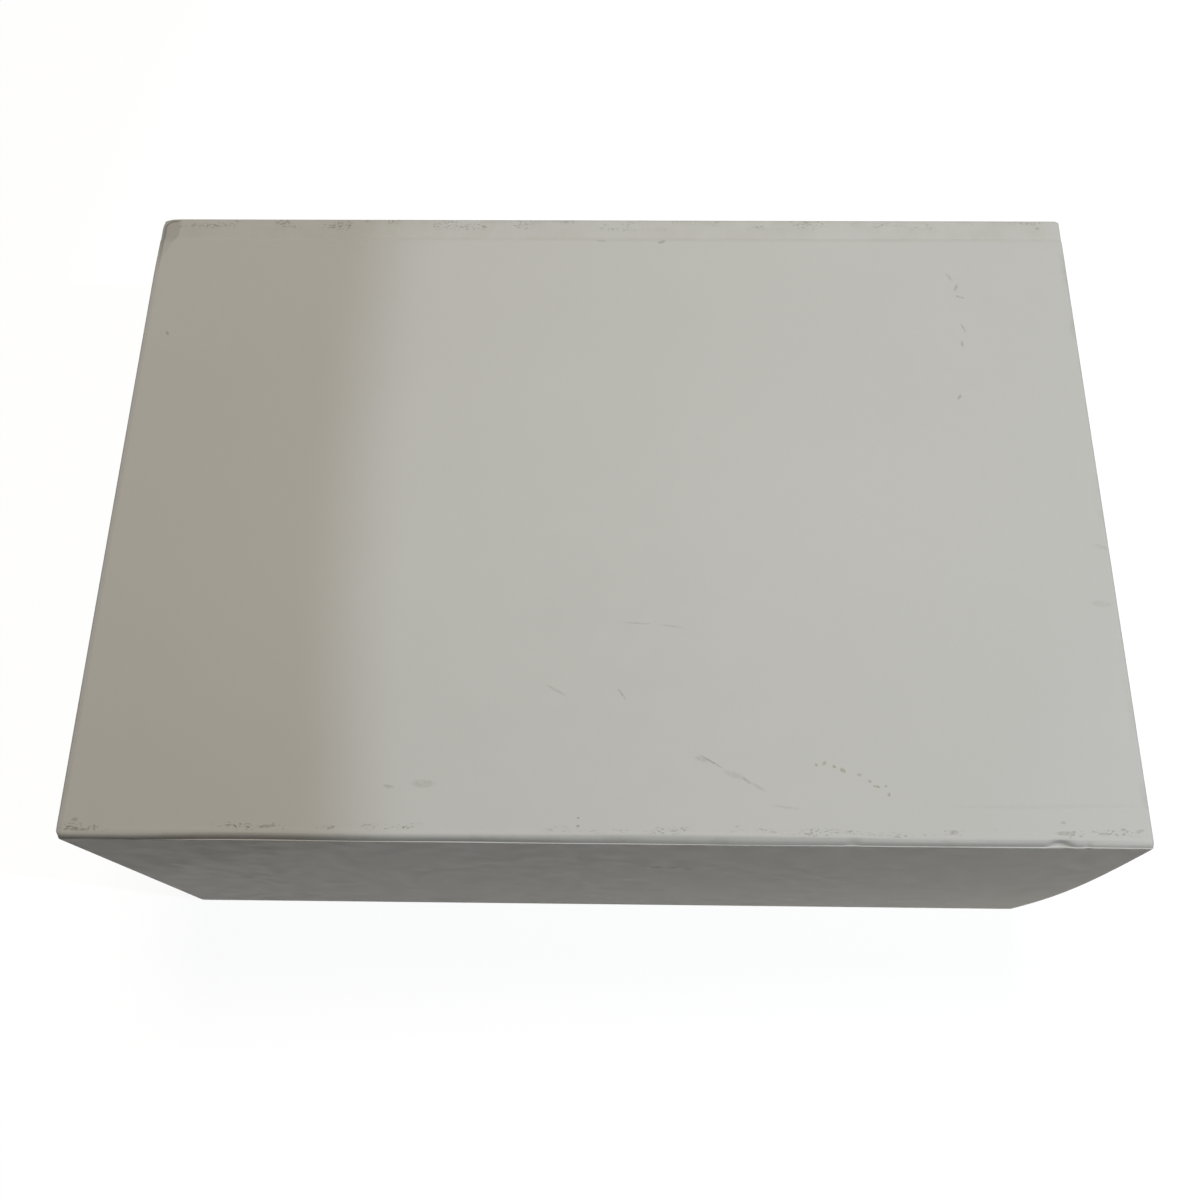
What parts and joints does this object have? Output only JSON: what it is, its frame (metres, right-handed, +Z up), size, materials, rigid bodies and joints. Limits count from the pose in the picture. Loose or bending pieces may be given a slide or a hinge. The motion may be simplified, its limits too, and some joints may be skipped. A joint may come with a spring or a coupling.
{
  "type": "gift box",
  "caption": "Rigid white gift box: a papered board tray glued into a folding case, with a hinged lid and a full-height front flap held by hidden magnets.",
  "frame": {"origin": "centre of the box's footprint, at the underside of the base", "axes": "+X along the box's width to the viewer's right, +Y from the front flap to the spine, +Z up"},
  "size_m": [0.33, 0.229, 0.142],
  "materials": {
    "cover_paper": "matte laminate",
    "liner_paper": "matte",
    "greyboard": "rough",
    "stay_paper": "matte",
    "magnet": "nickel plated",
    "keeper_steel": "rolled"
  },
  "bodies": {
    "box": {"base_board": "greyboard", "base_cover": "cover_paper", "spine_board": "greyboard", "spine_cover": "cover_paper", "base_fold_paper": "cover_paper", "lid_hinge_liner": "liner_paper", "tray_bottom_board": "greyboard", "tray_front_board": "greyboard", "tray_back_board": "greyboard", "tray_left_board": "greyboard", "tray_right_board": "greyboard", "tray_corner_stays": "stay_paper", "tray_wrap": "cover_paper", "tray_wall_liner": "liner_paper", "tray_floor_liner": "liner_paper", "keeper_discs": "keeper_steel"},
    "lid": {"lid_board": "greyboard", "lid_cover": "cover_paper", "lid_liner": "liner_paper", "lid_hinge_paper": "cover_paper", "flap_hinge_paper": "cover_paper", "flap_hinge_liner": "liner_paper"},
    "flap": {"flap_board": "greyboard", "flap_cover": "cover_paper", "flap_liner": "liner_paper", "flap_magnets": "magnet"}
  },
  "joints": [
    {"name": "lid_hinge", "type": "hinge", "parent": "box", "child": "lid", "pos_m": [0, 0.11408, 0.14118], "axis": [-1, 0, 0], "range_deg": [0, 180], "deforming": ["lid_hinge_paper", "lid_hinge_liner"]},
    {"name": "flap_hinge", "type": "hinge", "parent": "lid", "child": "flap", "pos_m": [0, -0.11279, 0.14117], "axis": [-1, 0, 0], "range_deg": [0, 90], "deforming": ["flap_hinge_paper", "flap_hinge_liner"]}
  ]
}
